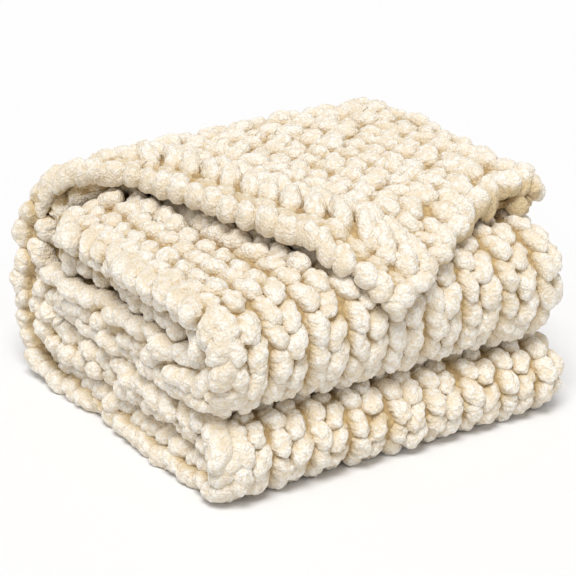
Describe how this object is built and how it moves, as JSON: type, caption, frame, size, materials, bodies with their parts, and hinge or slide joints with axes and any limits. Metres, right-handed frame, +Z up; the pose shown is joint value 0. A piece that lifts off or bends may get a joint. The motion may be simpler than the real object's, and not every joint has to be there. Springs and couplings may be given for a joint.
{
  "type": "folded chunky knit blanket",
  "caption": "Thick hand-knitted chenille throw, folded back and forth into a soft stack with one corner of its top flap hanging over the front.",
  "frame": {"origin": "on the surface, under the middle of the folded stack's box", "axes": "+Z up; X runs along the front folds, from the free edges at -X to the turned end at +X; -Y is the front, where the folds show"},
  "size_m": [0.4445, 0.4524, 0.2604],
  "materials": {
    "chenille": "matte, fuzzy chenille"
  },
  "bodies": {
    "root": {"throw": "chenille"}
  },
  "joints": []
}
